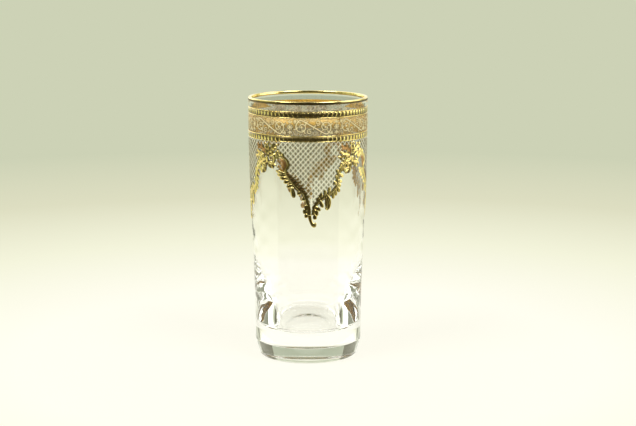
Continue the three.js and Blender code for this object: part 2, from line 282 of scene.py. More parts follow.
def satin(name, pale, deep, clear=0.0, cover=1.0, metallic=0.0):
    """Acid-etched glass: a dull pale skin with a fine frosty grain, which lets some light through."""
    material, tree, shader = new_material(name)
    shader.inputs["Transmission Weight"].default_value = clear
    shader.inputs["Alpha"].default_value = cover
    shader.inputs["Metallic"].default_value = metallic
    tree.links.new(ramp(tree, noise(tree, 500), deep, pale), shader.inputs["Base Color"])
    tree.links.new(ramp(tree, noise(tree, 900), 0.42, 0.62), shader.inputs["Roughness"])
    shader.inputs["IOR"].default_value = 1.5
    bump(tree, shader, noise(tree, 5000, 2.0), 0.00004)
    return material


GOLD = metal("burnished_gold", (1.0, 0.88, 0.38), (0.95, 0.74, 0.26), 0.1, 0.2)
GOLD_UNDERSIDE = metal(
    "gold_seen_through_glass", (1.0, 0.68, 0.14), (0.98, 0.54, 0.06), 0.35, 0.5, 0.0, 0.0
)
GOLD_BEHIND = metal(
    "gold_leaf_seen_through_glass", (0.9, 0.54, 0.12), (0.6, 0.34, 0.05), 0.35, 0.5, 0.4, 0.0
)
# Gold darkened to stand for shade: painted shade in hollows, in gaps and under edges
GOLD_PAINTED_SHADE = metal("gold_painted_shade", (0.22, 0.17, 0.07), (0.12, 0.09, 0.03), 0.3, 0.45)
COPPER = metal("copper_hook", (0.72, 0.43, 0.17), (0.42, 0.22, 0.06), 0.3, 0.5)
SATIN = satin("satin_etch", (0.86, 0.76, 0.48), (0.74, 0.64, 0.39), 0.2)
SATIN_UNDERSIDE = satin("satin_seen_through_glass", (0.97, 0.9, 0.7), (0.9, 0.82, 0.6))
# Dark satin for the borders of the etched lines: painted shade along them
SATIN_PAINTED_SHADE = satin("satin_painted_shade", (0.22, 0.16, 0.06), (0.15, 0.1, 0.035), 0.1)
SATIN_RIB = satin("satin_rib", (1.0, 0.97, 0.8), (0.94, 0.9, 0.72), 0.3)
SATIN_SKIN = satin("satin_skin", (0.72, 0.48, 0.14), (0.46, 0.3, 0.08), 0.0, 0.46, 0.9)
SATIN_VEIL = satin("satin_skin_seen_through_glass", (0.95, 0.85, 0.56), (0.88, 0.78, 0.48), 0.0, 0.16)
SATIN_CELL = satin("satin_cell", (0.36, 0.31, 0.14), (0.27, 0.23, 0.1), 0.0, 0.16)
GLASS = clear_glass()


# Mesh pieces


def finish_piece(name, points, faces, materials, slots, node_slot, *nodes):
    """Makes one smooth mesh piece that rides on the glass and stands for CAD nodes."""
    mesh = bpy.data.meshes.new(name)
    mesh.from_pydata([tuple(p) for p in points], [], faces)
    for material in materials:
        mesh.materials.append(material)
    mesh.polygons.foreach_set("material_index", slots)
    mesh.polygons.foreach_set("use_smooth", [True] * len(faces))
    solid = bmesh.new()
    solid.from_mesh(mesh)
    bmesh.ops.recalc_face_normals(solid, faces=solid.faces)
    solid.to_mesh(mesh)
    solid.free()
    piece = bpy.data.objects.new(name, mesh)
    bpy.context.scene.collection.objects.link(piece)
    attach(piece, "root")
    if nodes:
        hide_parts(*nodes)
    return piece


def dome(across):
    """Height of a plain relief over its width, which runs from -1 to 1."""
    return 1 - abs(across) ** 2.5


def groove(across, middle):
    """Share of the height that a narrow groove leaves."""
    return 1 - GROOVE_DEPTH * max(0.0, 1 - abs(across - middle) / GROOVE_HALF_WIDTH)


def veined(across):
    """A leaf with a groove along its middle."""
    return dome(across) * groove(across, 0)


def ridged(across):
    """A stem with three ridges along it."""
    return dome(across) * groove(abs(across), RIDGE_GROOVE)


def places_across(*grooves):
    """Where a section is sampled: close together at its edges and at its grooves."""
    places = {0.0, 0.38, 0.7, 0.92, 1.0}
    for middle in grooves:
        places.update((middle, abs(middle - GROOVE_HALF_WIDTH), middle + GROOVE_HALF_WIDTH))
    return sorted({side * place for place in places for side in (-1, 1)})


ACROSS = {dome: places_across(), veined: places_across(0.0), ridged: places_across(RIDGE_GROOVE)}


def round_leaf(share):
    """Width of a leaf that swells to a round end."""
    if share < LEAF_SHOULDER:
        return LEAF_BASE + (1 - LEAF_BASE) * math.sin(math.pi / 2 * share / LEAF_SHOULDER)
    return math.sqrt(max(1 - ((share - LEAF_SHOULDER) / (1 - LEAF_SHOULDER)) ** 2, 0))


def pointed_leaf(share):
    """Width of a leaf that is widest near its base and runs out to a point."""
    return (0.55 + 0.45 * math.sin(math.pi * min(share * 1.6, 1))) * (1 - share) ** 0.7


def teardrop(share):
    """Width of a bead that is round at its head and pointed at its tail."""
    if share < BEAD_HEAD:
        return math.sqrt(max(1 - ((BEAD_HEAD - share) / BEAD_HEAD) ** 2, 0))
    return 1 - (share - BEAD_HEAD) / (1 - BEAD_HEAD)


class Relief:
    """Closed shells on the unrolled wall, gathered into one mesh. Each is bedded a hair deeper than the
    last, so that no two undersides share a plane. Tops take the first material unless another slot is
    given, and undersides the second."""

    def __init__(self):
        self.points = []
        self.faces = []
        self.slots = []
        self.shells = 0

    def face(self, corners, slot):
        self.faces.append(corners)
        self.slots.append(slot)

    def shell(self, rows, closed=False, slot=0):
        """A shell from rows of points, each row running over the top from one edge to the other."""
        start = len(self.points)
        width = len(rows[0])
        sink = SHELL_STEP * (self.shells % SHELL_STEPS)
        self.shells += 1
        for row in rows:
            self.points.extend((x, y, lift - sink) for x, y, lift in row)
        for i in range(len(rows) if closed else len(rows) - 1):
            here = start + i * width
            there = start + (i + 1) % len(rows) * width
            for j in range(width - 1):
                self.face((here + j, here + j + 1, there + j + 1, there + j), slot)
            self.face((here + width - 1, here, there, there + width - 1), UNDERSIDE)
        if not closed:
            last = len(self.points) - width
            self.face(tuple(range(start, start + width)), slot)
            self.face(tuple(range(last, last + width)), slot)

    def strand(self, path, half_width, lift, profile=dome, closed=False, slot=0):
        """A raised strip along a path. Half width and lift are functions of the share of its length."""
        path = np.asarray(path, float)
        along = np.gradient(path, axis=0)
        if closed:
            along = np.roll(path, -1, axis=0) - np.roll(path, 1, axis=0)
        along /= np.linalg.norm(along, axis=1)[:, None]
        rows = []
        for i, (middle, way) in enumerate(zip(path, along)):
            share = i / (len(path) - 1)
            across = (-way[1], way[0])
            rows.append(self.section(middle, across, half_width(share), lift(share), profile))
        self.shell(rows, closed, slot)

    @staticmethod
    def section(middle, across, half_width, lift, profile):
        """A row of points over the top, from one edge to the other."""
        row = []
        for share in ACROSS[profile]:
            reach = half_width * share
            rise = -BED + (lift + BED) * profile(share)
            row.append((middle[0] + across[0] * reach, middle[1] + across[1] * reach, rise))
        return row

    def leaf(
        self, base, heading, length, width, bend=0.0, lift=0.2, outline=round_leaf, profile=veined, slot=0
    ):
        """A leaf or lobe from its base along a heading in degrees, bending as it goes."""
        steps = 10
        x, y = base
        rows = []
        reached = 0.0
        for i in range(steps + 1):
            share = math.sin(math.pi / 2 * i / steps)
            angle = math.radians(heading + bend * share)
            x += math.cos(angle) * length * (share - reached)
            y += math.sin(angle) * length * (share - reached)
            reached = share
            half_width = max(width / 2 * outline(share), LEAF_TIP)
            crown = lift * (0.6 + 0.4 * math.sin(math.pi * share)) * min(1.0, 4 * (1 - share) + 0.2)
            across = (-math.sin(angle), math.cos(angle))
            rows.append(self.section((x, y), across, half_width, crown, profile))
        self.shell(rows, False, slot)

    def lobe(self, base, tip, width, bend=0.0, outline=round_leaf, lift=0.2, slot=0):
        """A leaf from a base to a tip."""
        way = np.subtract(tip, base)
        heading = math.degrees(math.atan2(way[1], way[0])) - bend / 2
        self.leaf(base, heading, float(np.hypot(*way)), width, bend, lift, outline, veined, slot)

    def egg(self, middle, half_width, half_height, lift, slot=0):
        """A domed bead."""
        rows = []
        steps = 8
        for i in range(steps + 1):
            angle = math.pi * (i / steps - 0.5)
            height = half_height * math.sin(angle)
            reach = max(half_width * math.cos(angle), LEAF_TIP)
            crown = lift * max(math.cos(angle), 0.1)
            rows.append(self.section((middle[0], middle[1] + height), (1, 0), reach, crown, dome))
        self.shell(rows, False, slot)

    def make(self, name, turn, materials, node_slot, *nodes):
        """Bends the shells round the glass at a turn and makes one piece of them."""
        points = on_wall(self.points, turn)
        return finish_piece(name, points, self.faces, materials, self.slots, node_slot, *nodes)


def spline(points, count):
    """Evenly spaced points on a smooth curve through a few given ones."""
    points = [np.asarray(p, float) for p in points]
    ends = [2 * points[0] - points[1], *points, 2 * points[-1] - points[-2]]
    fine = []
    for a, b, c, d in zip(ends, ends[1:], ends[2:], ends[3:]):
        for t in np.linspace(0, 1, SPLINE_STEPS, endpoint=False):
            square = (2 * a - 5 * b + 4 * c - d) * t**2
            cube = (3 * b - a - 3 * c + d) * t**3
            fine.append(0.5 * (2 * b + (c - a) * t + square + cube))
    fine.append(points[-1])
    fine = np.array(fine)
    run = np.concatenate([[0], np.cumsum(np.linalg.norm(np.diff(fine, axis=0), axis=1))])
    even = np.linspace(0, run[-1], count)
    return np.stack([np.interp(even, run, fine[:, 0]), np.interp(even, run, fine[:, 1])], axis=1)


def heading_at(path, i):
    """Direction of a path at one of its points, in degrees."""
    before, after = path[max(i - 1, 0)], path[min(i + 1, len(path) - 1)]
    return math.degrees(math.atan2(after[1] - before[1], after[0] - before[0]))


def constant(value):
    """A size that stays the same along a strand."""
    return lambda share: value


def swelling(tip, middle):
    """A size that grows from a tip to the middle and back."""
    return lambda share: tip + (middle - tip) * math.sin(math.pi * share)


def tapering(start, end):
    """A size that runs evenly from one end to the other."""
    return lambda share: start + (end - start) * share


# Glass body


def glass_profile():
    """Radius and level pairs from the middle of the underside round to the middle of the bowl's floor,
    and the place in them where the inside starts."""
    profile = []
    foot_flat = float(outer_radius(FOOT_EDGE_HEIGHT)) - FOOT_EDGE_INSET
    punt_radius = foot_flat - STANDING_RING
    for share in (0, *np.linspace(PUNT_FLAT_SHARE, 1, PUNT_RINGS)):
        profile.append((punt_radius * share, PUNT_DEPTH * (1 - smoothstep(share, PUNT_FLAT_SHARE, 1))))
    for angle in np.linspace(0, math.pi / 2, EDGE_RINGS):
        level = FOOT_EDGE_HEIGHT * (1 - math.cos(angle))
        profile.append((foot_flat + FOOT_EDGE_INSET * math.sin(angle), level))
    foot_levels = np.linspace(FOOT_EDGE_HEIGHT, FOOT_LEAN_HEIGHT - 2 * FOOT_CREASE, FOOT_RINGS)[1:]
    crease_levels = FOOT_LEAN_HEIGHT + FOOT_CREASE * np.array([-1, 0, 1])
    wall_levels = np.linspace(FOOT_LEAN_HEIGHT + 2 * FOOT_CREASE, WALL_TOP, WALL_RINGS)[:-1]
    for level in (*foot_levels, *crease_levels, *wall_levels):
        profile.append((outer_radius(level), level))
    middle = outer_radius(WALL_TOP) - LIP_RADIUS
    for angle in np.linspace(0, math.pi, LIP_RINGS):
        profile.append((middle + LIP_RADIUS * math.cos(angle), WALL_TOP + LIP_RADIUS * math.sin(angle)))
    inside = len(profile)
    for level in np.linspace(WALL_TOP, SHOULDER, INSIDE_RINGS)[1:-1]:
        profile.append((inner_radius(level), level))
    profile.extend(bowl())
    profile.append((0.0, BASE_THICKNESS))
    return profile, inside


def bowl():
    """The leaning side of the bowl and the fillet to its flat floor."""
    start = np.array([inner_radius(SHOULDER), SHOULDER])
    end = np.array(
        [
            BOWL_FLOOR_RADIUS + BOWL_FILLET * math.cos(BOWL_LEAN),
            BASE_THICKNESS + BOWL_FILLET * (1 - math.sin(BOWL_LEAN)),
        ]
    )
    reach = (start[1] - end[1]) * BOWL_EASE
    first = start - (0, reach)
    second = end + (reach * math.tan(BOWL_LEAN), reach)
    points = []
    for t in np.linspace(0, 1, BOWL_RINGS):
        left = 1 - t
        point = start * left**3 + 3 * first * t * left**2 + 3 * second * t**2 * left + end * t**3
        points.append(tuple(point))
    for angle in np.linspace(BOWL_LEAN, math.pi / 2, FILLET_RINGS)[1:]:
        level = BASE_THICKNESS + BOWL_FILLET * (1 - math.sin(angle))
        points.append((BOWL_FLOOR_RADIUS + BOWL_FILLET * math.cos(angle), level))
    return points


def wave(turn, level):
    """The slight unevenness of a blown bowl: most at its two sides, gone at the lip and on the floor."""
    rise = smoothstep(level, BASE_THICKNESS + WAVE_START, BASE_THICKNESS + WAVE_FULL)
    fade = rise * (1 - smoothstep(level, WALL_TOP - WAVE_LIP, WALL_TOP))
    ripple = sum(share * np.sin(waves * turn + level / climb) for share, waves, climb in RIPPLES)
    return WAVE * fade * ripple * (WAVE_FRONT + (1 - WAVE_FRONT) * np.sin(turn) ** 2)


def revolve(profile, inside=None):
    """Points and faces of a solid turned about Z. A profile that starts on the axis also ends on it."""
    turns = np.linspace(0, 2 * math.pi, RING_STEPS, endpoint=False)
    points, rings = [], []
    for i, (radius, level) in enumerate(profile):
        if radius < ON_AXIS:
            rings.append([len(points)] * RING_STEPS)
            points.append((0.0, 0.0, level * MM))
            continue
        rings.append(list(range(len(points), len(points) + RING_STEPS)))
        radii = radius + (wave(turns, level) if inside is not None and i >= inside else 0 * turns)
        for turn, r in zip(turns, radii):
            points.append((r * math.sin(turn) * MM, -r * math.cos(turn) * MM, level * MM))
    faces = []
    pairs = list(zip(rings, rings[1:]))
    if profile[0][0] > ON_AXIS:
        pairs.append((rings[-1], rings[0]))
    for a, b in pairs:
        for j in range(RING_STEPS):
            k = (j + 1) % RING_STEPS
            faces.append(tuple(dict.fromkeys((a[j], a[k], b[k], b[j]))))
    return points, faces


def make_glass():
    profile, inside = glass_profile()
    points, faces = revolve(profile, inside)
    finish_piece("tumbler", points, faces, [GLASS], [0] * len(faces), "clear_glass", "glass_body")


def make_rim():
    """Gold over the lip with upright faces and a dark line along its lower edge outside, which is painted
    shade in dark gold.
    It is bedded a little into the glass, so that no air shows under it."""
    middle = outer_radius(WALL_TOP) - LIP_RADIUS

    def skin(offset, square, lean):
        reach = LIP_RADIUS + offset
        arc = []
        for angle in np.linspace(0, math.pi, RIM_RINGS):
            out = math.copysign(abs(math.cos(angle)) ** square, math.cos(angle))
            arc.append((middle + reach * out, WALL_TOP + reach * abs(math.sin(angle)) ** square))
        outside, inside = outer_radius(RIM_FOOT) + offset, inner_radius(RIM_FOOT) - offset - lean
        return [(outside, RIM_FOOT), *arc, (inside, RIM_FOOT)]

    outer, inner = skin(RIM_FILM, RIM_SQUARE, RIM_LEAN), skin(-BED, 1.0, 0.0)
    profile = outer + inner[::-1]
    points, faces = revolve(profile)
    under = range(len(outer), len(profile) - 1)
    slots = [UNDERSIDE if i // RING_STEPS in under else 0 for i in range(len(faces))]
    # The lowest rings outside take the dark gold: a painted shade line under the lip's gold
    line = RIM_SHADE_RINGS * RING_STEPS
    slots[:line] = [SHADE_SLOT] * line
    gold = [GOLD, GOLD_UNDERSIDE, GOLD_PAINTED_SHADE]
    finish_piece("rim_gold", points, faces, gold, slots, "gold", "rim_gilding")


# Bead bands


def ring_path(level, count=RING_STEPS):
    """Points right round the unrolled wall at one level."""
    girth = 2 * math.pi * outer_radius(level)
    return [(girth * i / count, level) for i in range(count)]


def make_band(name, node, levels, way):
    """Two thin edge lines on a dark gold ground, which is painted shade among the beads, and teardrop beads
    in a row with their tails up or down.
    """
    low, high = levels
    middle = (low + high) / 2
    band = Relief()
    for level in (low + EDGE_LINE, high - EDGE_LINE):
        band.strand(ring_path(level), constant(EDGE_LINE), constant(EDGE_LINE_LIFT), dome, True)
    ground_rows = []
    for x, _ in ring_path(middle):
        angle = x / outer_radius(middle)
        levels_up = (low + EDGE_LINE, low + EDGE_LINE, high - EDGE_LINE, high - EDGE_LINE)
        lifts = (-BED, BAND_FILM, BAND_FILM, -BED)
        ground_rows.append([(angle * outer_radius(y), y, lift) for y, lift in zip(levels_up, lifts)])
    # The ground takes the dark gold: painted shade between the beads
    band.shell(ground_rows, True, SHADE_SLOT)
    pitch = 2 * math.pi * outer_radius(middle) / BEADS
    length = high - low - BEAD_CLEARANCE
    for i in range(BEADS):
        head = (i * pitch, middle - way * length / 2)
        band.leaf(head, 90 * way, length, BEAD_FILL * pitch, 0, BEAD_LIFT, teardrop, dome)
    band.make(name, 0.0, [GOLD, GOLD_UNDERSIDE, GOLD_PAINTED_SHADE], "gold", node)


# Frieze


def make_frieze():
    """The satin skin with a row of scrolls on it and a rosette between each two."""
    make_frieze_ground()
    unit_turn = 2 * math.pi / FRIEZE_UNITS
    half_unit = math.pi * outer_radius(FRIEZE_MIDDLE) / FRIEZE_UNITS
    scroll, rosette = frieze_scroll(half_unit), frieze_rosette()
    etched = [SATIN, SATIN_UNDERSIDE, SATIN_PAINTED_SHADE]
    for i in range(FRIEZE_UNITS):
        turn = math.radians(SWAG_TURN) + i * unit_turn
        scroll.make(f"scroll_{i + 1}", turn, etched, "satin_glass", f"frieze_scroll_{i + 1}")
        turn += unit_turn / 2
        rosette.make(f"rosette_{i + 1}", turn, etched, "satin_glass", f"frieze_rosette_{i + 1}")


def make_frieze_ground():
    """The thin satin skin between the two bands."""
    rows = []
    low, high = FRIEZE
    for x, _ in ring_path(FRIEZE_MIDDLE):
        angle = x / outer_radius(FRIEZE_MIDDLE)
        corners = ((low, 0.0), (low, SATIN_FILM), (high, SATIN_FILM), (high, 0.0))
        rows.append([(angle * outer_radius(y), y, SATIN_GAP + lift) for y, lift in corners])
    ground = Relief()
    ground.shell(rows, True)
    ground.make("frieze_skin", 0.0, [SATIN_SKIN, SATIN_VEIL], "satin_glass", "frieze_ground")


def outlined(relief, path, half_width, lift):
    """A pale etched line with a darker border, which is painted shade."""

    def border_width(share):
        return half_width(share) + ETCH_BORDER

    # The border is dark satin: painted shade along the etched line
    relief.strand(path, border_width, constant(lift * BORDER_LIFT_SHARE), dome, False, SHADE_SLOT)
    relief.strand(path, half_width, constant(lift))


def outlined_leaf(relief, base, heading, length, width, bend, lift):
    """A pale etched leaf with a darker border, which is painted shade."""
    border_length = length + ETCH_BORDER
    border_width = width + 2 * ETCH_BORDER
    border_lift = lift * BORDER_LIFT_SHARE
    # The border is dark satin: painted shade round the etched leaf
    relief.leaf(base, heading, border_length, border_width, bend, border_lift, round_leaf, dome, SHADE_SLOT)
    relief.leaf(base, heading, length, width, bend, lift)


def coil(middle, outer, inner, start, turns):
    """Points that wind in from an outer radius to an inner one. Start is in degrees."""
    points = []
    for share in np.linspace(0, 1, COIL_POINTS):
        radius = outer + (inner - outer) * share
        angle = math.radians(start + 360 * turns * share)
        points.append(np.array([middle[0] + radius * math.cos(angle), middle[1] + radius * math.sin(angle)]))
    return points


def frieze_scroll(half_unit):
    """An S-scroll that winds in at both ends, with leaves along it, small curls and a bead in each eye."""
    eye_at = half_unit - ROSETTE_REACH - SCROLL_OUTER - SCROLL_CLEARANCE
    half = coil((-eye_at, 0), SCROLL_OUTER, SCROLL_EYE, 90, SCROLL_TURNS)
    points = [*half[::-1], np.zeros(2), *[-p for p in half]]
    path = spline(points, 110) + (0, FRIEZE_MIDDLE)
    unit = Relief()
    for side in (-1, 1):
        small = [side * p for p in coil((2.3, 2.5), 1.5, 0.45, -110, 1.2)]
        outlined(unit, spline(small, 36) + (0, FRIEZE_MIDDLE), tapering(0.3, 0.22), ETCH_LIFT)
        for heading in (150, 185, 220):
            base = (side * (eye_at + 2.9), FRIEZE_MIDDLE - side * 3.3)
            outlined_leaf(unit, base, heading if side < 0 else heading - 180, 2.0, 0.8, 20, ETCH_LIFT)
    for share in np.linspace(0.14, 0.86, 9):
        i = int(share * (len(path) - 1))
        for side in (-1, 1):
            outlined_leaf(unit, path[i], heading_at(path, i) + side * 46, 2.1, 0.9, side * 40, ETCH_LIFT)
    outlined(unit, path, swelling(0.3, 0.42), ETCH_LIFT * 1.4)
    for side in (-1, 1):
        unit.egg((side * eye_at, FRIEZE_MIDDLE), 0.6, 0.6, ETCH_LIFT * 1.4)
    return unit


def frieze_rosette():
    """A round flower between two scrolls, with a leaf above and below it."""
    flower = Relief()
    for side in (-1, 1):
        for lean in (-32, 0, 32):
            base = (0, FRIEZE_MIDDLE + side * 2.0)
            outlined_leaf(flower, base, side * 90 + lean, 2.2, 0.8, lean * 0.8, ETCH_LIFT)
    for k in range(8):
        angle = 45 * k
        base = (0.55 * math.cos(math.radians(angle)), FRIEZE_MIDDLE + 0.55 * math.sin(math.radians(angle)))
        outlined_leaf(flower, base, angle, 1.3, 0.8, 0, ETCH_LIFT * 1.2)
    flower.egg((0, FRIEZE_MIDDLE), 0.65, 0.65, ETCH_LIFT * 1.5)
    return flower


# Swags


def swag_points(*pairs):
    """Degrees from the swag's point and share of its drop, as points of the unrolled wall."""
    points = []
    for degrees, rise in pairs:
        level = SWAG_JOINT + rise * SWAG_DROP
        points.append((math.radians(degrees) * float(outer_radius(level)), level))
    return points


LEFT_STEM = spline(
    swag_points(
        (-40.5, CREST_RISE), (-33, 0.8), (-26.4, 0.755), (-24.8, 0.68), (-27, 0.61), (-25.4, 0.535),
        (-20.6, 0.45), (-15.2, 0.375), (-9.8, 0.31), (-6.8, 0.22), (-5, 0.11), (-4.2, 0.0),
    ),
    STEM_POINTS,
)
RIGHT_STEM = spline(
    swag_points(
        (-0.6, 0.0), (1, 0.12), (4.2, 0.18), (8.8, 0.235), (15.2, 0.285), (21, 0.34),
        (24.3, 0.415), (24.4, 0.505), (26, 0.58), (30.4, 0.655), (35.2, 0.715), (40.5, CREST_RISE),
    ),
    STEM_POINTS,
)


def nearest(stem, tip, trail):
    """The point of a stem that is nearest to a leaf's tip, moved a few points along the stem."""
    i = int(np.argmin(np.linalg.norm(stem - tip, axis=1))) + trail
    return stem[min(max(i, 0), len(stem) - 1)]


def lobes(relief, stem, width, bend, outline, trail, tips, slot=0):
    """Leaves from a stem to the given tips."""
    for tip in swag_points(*tips):
        relief.lobe(nearest(stem, tip, trail), tip, width, bend, outline, LEAF_LIFT, slot)


def left_branch():
    """The branch with the hook: a dark ground that is painted shade under the leaves, fringe, leaves, copper
    in the hook, stem and berries.
    """
    branch = Relief()
    # The ground under the leaves is dark gold: painted shade
    branch.strand(LEFT_STEM, swelling(1.0, 1.6), constant(MEMBRANE_LIFT), dome, False, SHADE_SLOT)
    fringe = (
        (-23, 0.56), (-19.6, 0.545), (-16.4, 0.525), (-13.4, 0.505),
        (-10.6, 0.475), (-8.2, 0.43), (-6.4, 0.375), (-5, 0.31),
    )
    # The fringe's outer lobes are dark gold: painted shade round the copper lobes
    lobes(branch, LEFT_STEM, 3.6, -20, pointed_leaf, -6, fringe, SHADE_SLOT)
    lobes(branch, LEFT_STEM, 1.7, -20, pointed_leaf, -6, fringe, HOOK)
    teeth = (
        (-37.9, 0.6), (-36.3, 0.545), (-33.8, 0.495), (-29.6, 0.44),
        (-26.5, 0.38), (-16.1, 0.29), (-11.6, 0.228),
    )
    lobes(branch, LEFT_STEM, 2.1, -35, round_leaf, 5, teeth)
    branch.lobe(*swag_points((-20.4, 0.385), (-18.8, 0.235)), 2.9, 30, round_leaf, LEAF_LIFT)
    hollow = swag_points((-32.4, 0.745), (-29, 0.73), (-27.6, 0.68), (-29.4, 0.61))
    branch.strand(spline(hollow, 24), swelling(0.5, 1.7), constant(LEAF_LIFT), veined, False, HOOK)
    branch.strand(LEFT_STEM, hook_width, constant(STEM_LIFT), ridged)
    lobes(branch, LEFT_STEM, 2.2, 15, round_leaf, 0, ((-37.4, 0.86), (-33.6, 0.875), (-29.4, 0.85)))
    for berry, size in zip(swag_points((-6.6, 0.1), (-8.3, 0.05), (-7.2, -0.01)), (1.5, 1.3, 1.1)):
        branch.egg(berry, size, size * 1.2, STEM_LIFT)
    [berry] = swag_points((-10.5, 0.174))
    branch.egg(berry, 0.5, 0.5, LEAF_LIFT, HOOK)
    return branch


def hook_width(share):
    """Half width of the left stem, which is thick round its hook and near its lower end."""
    hook = math.exp(-(((share - 0.22) / 0.16) ** 2))
    end = math.exp(-(((share - 0.95) / 0.1) ** 2))
    return 0.95 + 0.35 * hook + 0.3 * end


def right_branch():
    """The branch with the curl: a dark ground that is painted shade under the leaves, leaves on both sides,
    curl, stem and berries.
    """
    branch = Relief()
    # The ground under the leaves is dark gold: painted shade
    branch.strand(RIGHT_STEM, swelling(1.0, 1.6), constant(MEMBRANE_LIFT), dome, False, SHADE_SLOT)
    upper = (
        (4.6, 0.25), (7.6, 0.305), (11.4, 0.345), (15.4, 0.385),
        (19.4, 0.455), (21.8, 0.54), (23.6, 0.62),
    )
    lobes(branch, RIGHT_STEM, 2.3, -25, round_leaf, -7, upper)
    lobes(branch, RIGHT_STEM, 2.2, -20, round_leaf, -7, ((27.4, 0.69), (31.6, 0.75), (35.4, 0.8)))
    lower = (
        (4.8, 0.02), (7, 0.06), (9.4, 0.1), (20, 0.215),
        (23, 0.255), (26.8, 0.3), (27.6, 0.37),
    )
    lobes(branch, RIGHT_STEM, 2.3, 25, round_leaf, 7, lower)
    lobes(branch, RIGHT_STEM, 2.2, 20, round_leaf, 5, ((29.4, 0.44), (31, 0.51), (33.6, 0.565), (37, 0.62)))
    branch.lobe(*swag_points((12.4, 0.265), (14.6, 0.07)), 3.4, -20, round_leaf, LEAF_LIFT)
    curl = swag_points((12.6, 0.27), (15.6, 0.225), (16.6, 0.155), (15.4, 0.09), (13, 0.075), (11.8, 0.11))
    branch.strand(spline(curl, 40), tapering(0.9, 0.5), constant(STEM_LIFT), dome)
    [eye] = swag_points((12.5, 0.1))
    # The curl's eye is dark gold: painted shade in its hollow
    branch.egg(eye, 0.7, 0.8, STEM_LIFT, SHADE_SLOT)
    branch.strand(RIGHT_STEM, swelling(0.85, 1.1), constant(STEM_LIFT), ridged)
    for berry, size in zip(swag_points((1.4, -0.03), (3.2, 0.02)), (1.2, 1.1)):
        branch.egg(berry, size, size * 1.25, STEM_LIFT)
    return branch


def acanthus(relief, path, width, pairs, slot=0):
    """A lobed leaf along a path: a thin dark blade that is painted shade between the lobes, a row of lobes
    on each side and a midrib.
    """
    path = spline(path, 40)

    def blade(share):
        return width / 2 * round_leaf(share) + BLADE_MARGIN

    # The blade is dark gold: painted shade between the lobes
    relief.strand(path, blade, constant(MEMBRANE_LIFT), dome, False, SHADE_SLOT)
    for k in range(pairs):
        share = (k + 0.6) / pairs
        i = int(share * (len(path) - 2))
        size = width * (0.5 + 0.2 * math.sin(math.pi * share))
        for side in (-1, 1):
            heading = heading_at(path, i) + side * 52
            relief.leaf(path[i], heading, size, size * 0.56, -side * 28, LEAF_LIFT, round_leaf, veined, slot)
    relief.strand(path, tapering(0.5, 0.2), tapering(STEM_LIFT, LEAF_LIFT), ridged, False, slot)


def crest():
    """The leaf spray between two swags: leaves that sweep up, sideways and down from two volutes."""
    spray = Relief()
    middle = SWAG_JOINT + CREST_RISE * SWAG_DROP
    leaves = (
        ((0.4, -1.6), (2.8, -3.2), (5.4, -2.6)),
        ((-0.4, -1.6), (-2, -4), (-3, -6.4), (-5, -7)),
        ((-1.2, -0.6), (-4.4, -1.8), (-7, -4), (-8.4, -6.2)),
        ((2.2, 1.8), (5, 3), (7, 2.4), (8.4, 0.8)),
        ((-2.2, 1.8), (-5, 3), (-7.4, 2), (-9, 0)),
        ((1.2, 2.4), (2.8, 5), (5.2, 6.6), (7, 6.4)),
        ((0, 1), (0.3, 4), (0, 8.4)),
    )
    for leaf in leaves:
        acanthus(spray, [(x, middle + y) for x, y in leaf], 4.3, 3)
    burnt = ((-1.2, 2.4), (-2.8, 5), (-5.4, 6.4), (-8, 6.2))
    acanthus(spray, [(x, middle + y) for x, y in burnt], 4.2, 3, HOOK)
    for side in (-1, 1):
        volute = []
        for share in np.linspace(0, 1, COIL_POINTS):
            angle = -1.2 + share * 5.6
            radius = 2.5 - 1.7 * share
            volute.append((side * (3.4 + radius * math.cos(angle)), middle + 0.2 + radius * math.sin(angle)))
        spray.strand(spline(volute, 40), tapering(0.85, 0.5), constant(STEM_LIFT))
    spray.egg((0, middle - 0.6), 1.4, 1.9, STEM_LIFT)
    return spray


def pendant():
    """The curled stem that hangs from the swag's point, with a bead in its curl."""
    stem = Relief()
    path = swag_points(
        (-4, 0), (-3.4, -0.05), (-2.2, -0.1), (-0.6, -0.145), (0.9, -0.155), (1.7, -0.13), (1.0, -0.11)
    )
    stem.strand(spline(path, 50), tapering(1.05, 0.75), constant(STEM_LIFT), ridged)
    [bead] = swag_points((0.4, -0.125))
    stem.egg(bead, 0.6, 0.6, LEAF_LIFT)
    return stem


def swag_edge(x):
    """The lowest level of the swag's stems near a place on the unrolled wall."""
    stems = np.concatenate([LEFT_STEM, RIGHT_STEM])
    near = stems[np.abs(stems[:, 0] - x) < SWAG_EDGE_REACH]
    return near[:, 1].min() if len(near) else SWAG_JOINT + CREST_RISE * SWAG_DROP


